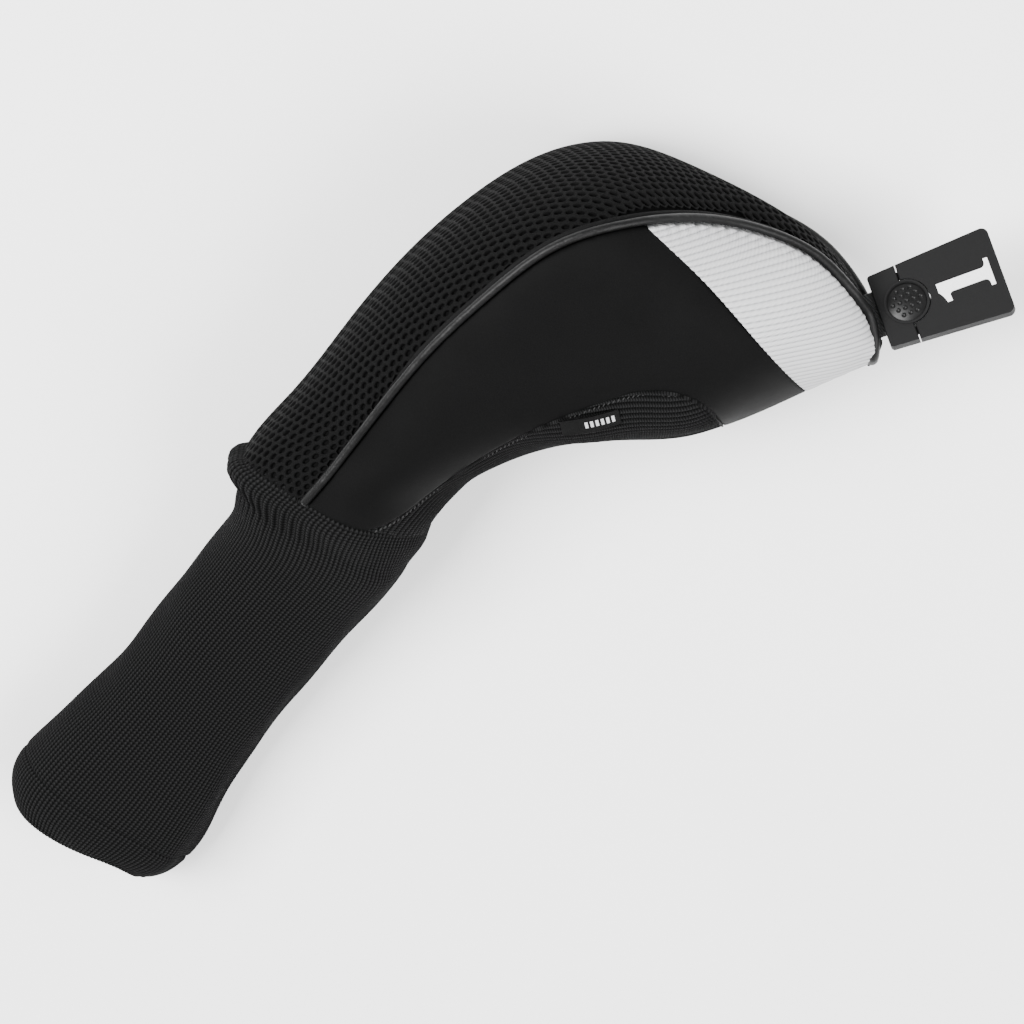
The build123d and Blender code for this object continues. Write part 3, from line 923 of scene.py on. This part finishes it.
@once
def label_material():
    """Woven damask tape with a plain stripe and dash pattern."""
    s = Shader("woven label", Roughness=0.75, Specular_IOR_Level=0.08)
    split = s.add("ShaderNodeSeparateXYZ", Vector=s.place("UV"))
    u, v = split.outputs["X"], split.outputs["Y"]
    middle = s.math("LESS_THAN", s.math("ABSOLUTE", s.math("SUBTRACT", v, 0.5)), 0.20)
    dash = s.math("GREATER_THAN", s.math("SINE", s.math("MULTIPLY", u, 120.0)), -0.2)
    reach = s.math("LESS_THAN", s.math("ABSOLUTE", s.math("SUBTRACT", u, 0.2)), 0.16)
    mark = s.math("MULTIPLY", s.math("MULTIPLY", middle, dash), reach)
    weave = s.noise(5200.0, 1.0, 0.5)
    tone = s.math("ADD", s.math("MULTIPLY", mark, 0.7), s.math("MULTIPLY", weave, 0.25))
    colour = s.shades(tone, grey(0.0015), grey(0.46), 0.26, 0.9)
    return s.finish(colour, s.relief(s.math("ADD", weave, mark), 0.00012))


@once
def webbing_material():
    """The tab's coated webbing."""
    s = Shader("black webbing", Roughness=0.6)
    weave = s.add("ShaderNodeTexWave", {"wave_type": "BANDS"}, Vector=s.place(), Scale=300.0,
                  Distortion=1.0).outputs["Fac"]
    return s.finish(s.shades(weave, grey(0.004), grey(0.01)), s.relief(weave, 0.0002))


@once
def fleece_material():
    """Brushed lining."""
    s = Shader("dark fleece", Roughness=0.95, Sheen_Weight=0.5)
    pile = s.noise(1400.0, 4.0, 0.7)
    return s.finish(s.shades(pile, grey(0.02), grey(0.06)), s.relief(pile, 0.0006))


@once
def elastic_material():
    """Woven elastic."""
    s = Shader("black elastic", Roughness=0.8)
    rib = s.add("ShaderNodeTexWave", {"wave_type": "BANDS"}, Vector=s.place(),
                Scale=350.0).outputs["Fac"]
    return s.finish(s.shades(rib, grey(0.01), grey(0.03)), s.relief(rib, 0.0003))


@once
def tag_material():
    """Charcoal plastic with a fine spark-eroded grain."""
    s = Shader("charcoal plastic", Specular_IOR_Level=0.09)
    grain = s.noise(5200.0, 2.0, 0.6)
    cloudy = s.noise(120.0, 2.0, 0.5)
    rough = s.math("ADD", 0.50, s.math("MULTIPLY", cloudy, 0.12))
    return s.finish(s.shades(grain, grey(0.004), grey(0.008)), s.relief(grain, 0.00006), rough)


@once
def button_material():
    """Glossier black plastic, with faint handling marks."""
    s = Shader("glossy black plastic", Specular_IOR_Level=0.16)
    marks = s.noise(420.0, 3.0, 0.6)
    rough = s.math("ADD", 0.28, s.math("MULTIPLY", marks, 0.16))
    return s.finish(s.shades(marks, grey(0.002), grey(0.004)), s.relief(marks, 0.00003), rough)


@once
def spring_material():
    """Spring steel, drawn."""
    s = Shader("spring steel", Metallic=1.0)
    drawn = s.noise(900.0, 2.0, 0.6)
    rough = s.math("ADD", 0.28, s.math("MULTIPLY", drawn, 0.2))
    return s.finish(s.shades(drawn, (0.50, 0.50, 0.52), (0.66, 0.66, 0.67)), None, rough)


@once
def numeral_material():
    """White paint with a slight orange peel."""
    s = Shader("white paint", IOR=1.48)
    peel = s.noise(900.0, 2.0, 0.5)
    rough = s.math("ADD", 0.40, s.math("MULTIPLY", peel, 0.15))
    return s.finish(s.shades(peel, (0.74, 0.74, 0.74), (0.82, 0.82, 0.82)),
                    s.relief(peel, 0.00005), rough)


@once
def floor_material():
    """A plain pale surface."""
    s = Shader("pale floor", Roughness=0.9)
    cloudy = s.noise(6.0, 2.0, 0.5)
    return s.finish(s.shades(cloudy, (0.90, 0.90, 0.90), (0.93, 0.93, 0.93)))


CAD_MATERIALS = {
    "neck_elastic": elastic_material,
    "lining_left": fleece_material,
    "lining_right": fleece_material,
    "lining_top": fleece_material,
    "tag_base": tag_material,
    "tag_back": tag_material,
    "tag_button": button_material,
    "number_plate": tag_material,
    "numeral": numeral_material,
}


def dress_cad_nodes():
    """The hard pieces, and the soft ones that stay hidden inside, keep their CAD shape."""
    for node, material in CAD_MATERIALS.items():
        mesh = frame["nodes"][node].data
        mesh.materials.clear()
        mesh.materials.append(material())


# ---- floor, light and camera --------------------------------------------------------------------
def area_light(name, place, size, power):
    """A square soft box that points at the cover."""
    light = bpy.data.lights.new(name, "AREA")
    light.size = size
    light.energy = power
    obj = bpy.data.objects.new(name, light)
    obj.location = place
    obj.rotation_mode = "QUATERNION"
    obj.rotation_quaternion = (CAMERA_TARGET - Vector(place)).to_track_quat("-Z", "Y")
    bpy.context.scene.collection.objects.link(obj)


def studio():
    """A pale floor, an even white surround and two soft boxes."""
    half = 4.0
    corners = [(-half, -half, 0), (half, -half, 0), (half, half, 0), (-half, half, 0)]
    floor = new_object("studio_floor", corners, [(0, 1, 2, 3)])
    floor.data.materials.append(floor_material())
    world = bpy.data.worlds.new("studio")
    world.use_nodes = True
    world.node_tree.nodes["Background"].inputs["Color"].default_value = (1, 1, 1, 1)
    world.node_tree.nodes["Background"].inputs["Strength"].default_value = 1.1
    bpy.context.scene.world = world
    left = CAMERA_TARGET - IMAGE_RIGHT * 0.9 + IMAGE_AWAY * 0.5 + Vector((0, 0, 1.5))
    right = CAMERA_TARGET + IMAGE_RIGHT * 1.0 - IMAGE_AWAY * 0.3 + Vector((0, 0, 1.3))
    area_light("key_light", left, 0.9, 95)
    area_light("fill_light", right, 1.2, 50)


def camera():
    """Looks down on the cover from the side of its back, with the sock at the left."""
    lens = bpy.data.cameras.new("camera")
    lens.lens = LENS
    obj = bpy.data.objects.new("camera", lens)
    lean = IMAGE_AWAY * math.sin(CAMERA_LEAN)
    back = (lean + Vector((0, 0, math.cos(CAMERA_LEAN)))).normalized()
    up = (IMAGE_AWAY * math.cos(CAMERA_LEAN) - Vector((0, 0, math.sin(CAMERA_LEAN)))).normalized()
    right = up.cross(back)
    obj.rotation_mode = "QUATERNION"
    obj.rotation_quaternion = Matrix((right, up, back)).transposed().to_quaternion()
    obj.location = CAMERA_TARGET + back * CAMERA_DISTANCE
    bpy.context.scene.collection.objects.link(obj)
    bpy.context.scene.camera = obj


skin = Skin()
neck = pocket_start(skin)
knit_sock(skin, neck)
gusset(skin, neck)
air_mesh(skin, neck)
piping(skin, neck)
side_panels()
nose_panels(skin, neck)
seam_stitches(skin, neck)
woven_label()
tag_strap()
springs()
dress_cad_nodes()
studio()
camera()
